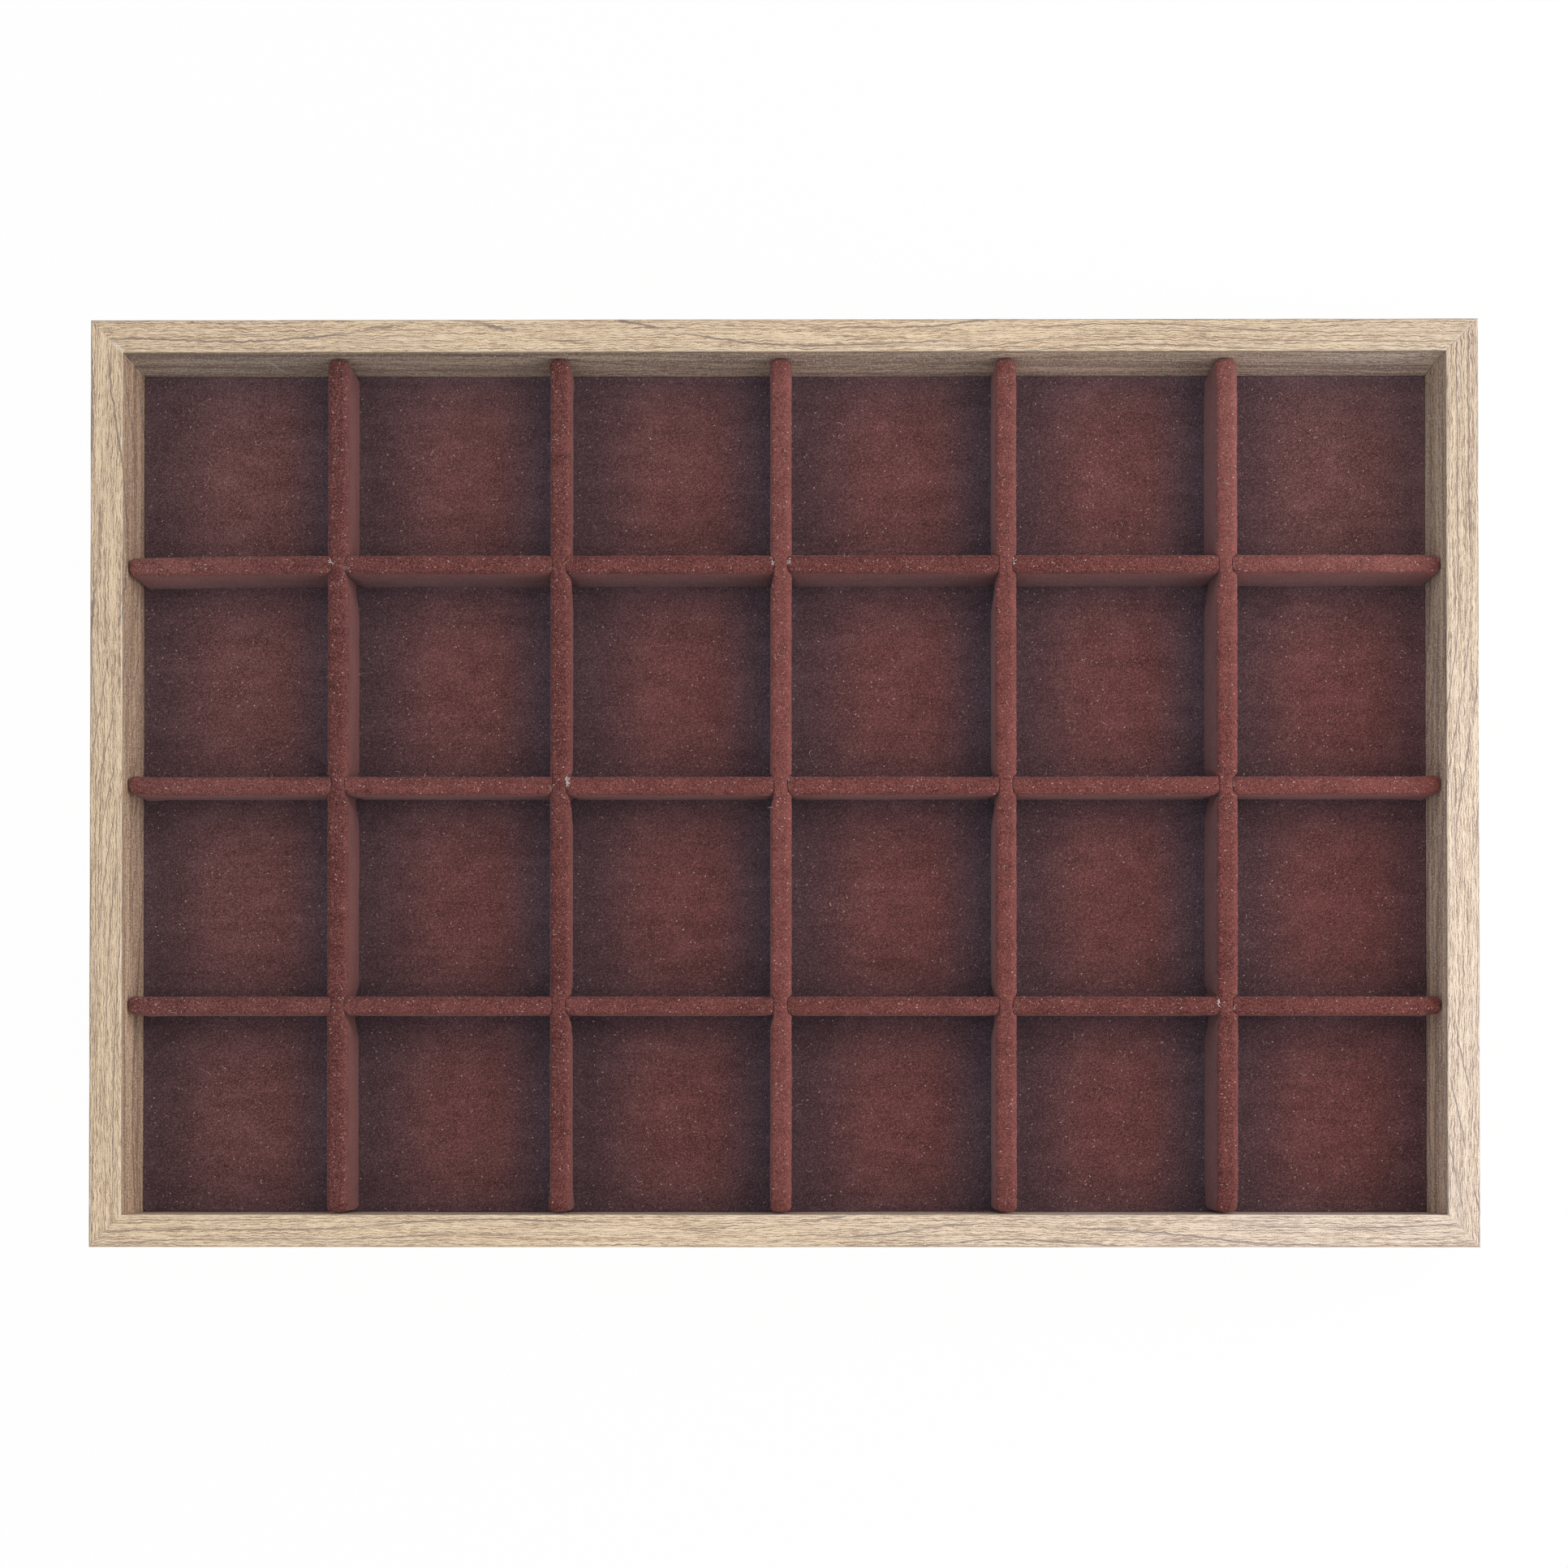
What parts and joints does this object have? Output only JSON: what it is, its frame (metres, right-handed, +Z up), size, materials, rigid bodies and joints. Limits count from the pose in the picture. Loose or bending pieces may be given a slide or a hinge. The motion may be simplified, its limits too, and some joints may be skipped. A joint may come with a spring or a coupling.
{
  "type": "jewelry display tray",
  "caption": "Shallow mitred wood-grain tray with a velvet floor and a lift-out egg-crate grid of velvet dividers that makes square compartments.",
  "frame": {"origin": "middle of the tray's footprint, at the underside of the rails that it stands on", "axes": "+X along the long side, to the right of somebody who stands in front; +Y to the back; +Z up, out of the open top"},
  "size_m": [0.35, 0.234, 0.03],
  "materials": {
    "wood_foil": "satin embossed wood-grain foil",
    "fibreboard": "raw medium density fibreboard",
    "hardboard": "raw hardboard, rough side down",
    "steel": "plain drawn steel",
    "card": "raw grey card",
    "velvet": "matt mahogany red velvet"
  },
  "bodies": {
    "tray": {"rail_core_front": "fibreboard", "rail_core_right": "fibreboard", "rail_core_back": "fibreboard", "rail_core_left": "fibreboard", "rail_foil_front": "wood_foil", "rail_foil_right": "wood_foil", "rail_foil_back": "wood_foil", "rail_foil_left": "wood_foil", "base_board": "hardboard", "base_pins": "steel", "corner_v_nails": "steel", "floor_card": "card", "floor_velvet": "velvet"},
    "cross_dividers": {"cross_divider_core_1": "card", "cross_divider_velvet_1": "velvet", "cross_divider_core_2": "card", "cross_divider_velvet_2": "velvet", "cross_divider_core_3": "card", "cross_divider_velvet_3": "velvet"},
    "long_divider_1": {"long_divider_core_1": "card", "long_divider_velvet_1": "velvet"},
    "long_divider_2": {"long_divider_core_2": "card", "long_divider_velvet_2": "velvet"},
    "long_divider_3": {"long_divider_core_3": "card", "long_divider_velvet_3": "velvet"},
    "long_divider_4": {"long_divider_core_4": "card", "long_divider_velvet_4": "velvet"},
    "long_divider_5": {"long_divider_core_5": "card", "long_divider_velvet_5": "velvet"}
  },
  "joints": [
    {"name": "divider_grid_lift", "type": "slide", "parent": "tray", "child": "cross_dividers", "axis": [0, 0, 1], "range_m": [0, 0.04]},
    {"name": "long_divider_1_lift", "type": "slide", "parent": "cross_dividers", "child": "long_divider_1", "axis": [0, 0, 1], "range_m": [0, 0.03]},
    {"name": "long_divider_2_lift", "type": "slide", "parent": "cross_dividers", "child": "long_divider_2", "axis": [0, 0, 1], "range_m": [0, 0.03]},
    {"name": "long_divider_3_lift", "type": "slide", "parent": "cross_dividers", "child": "long_divider_3", "axis": [0, 0, 1], "range_m": [0, 0.03]},
    {"name": "long_divider_4_lift", "type": "slide", "parent": "cross_dividers", "child": "long_divider_4", "axis": [0, 0, 1], "range_m": [0, 0.03]},
    {"name": "long_divider_5_lift", "type": "slide", "parent": "cross_dividers", "child": "long_divider_5", "axis": [0, 0, 1], "range_m": [0, 0.03]}
  ]
}
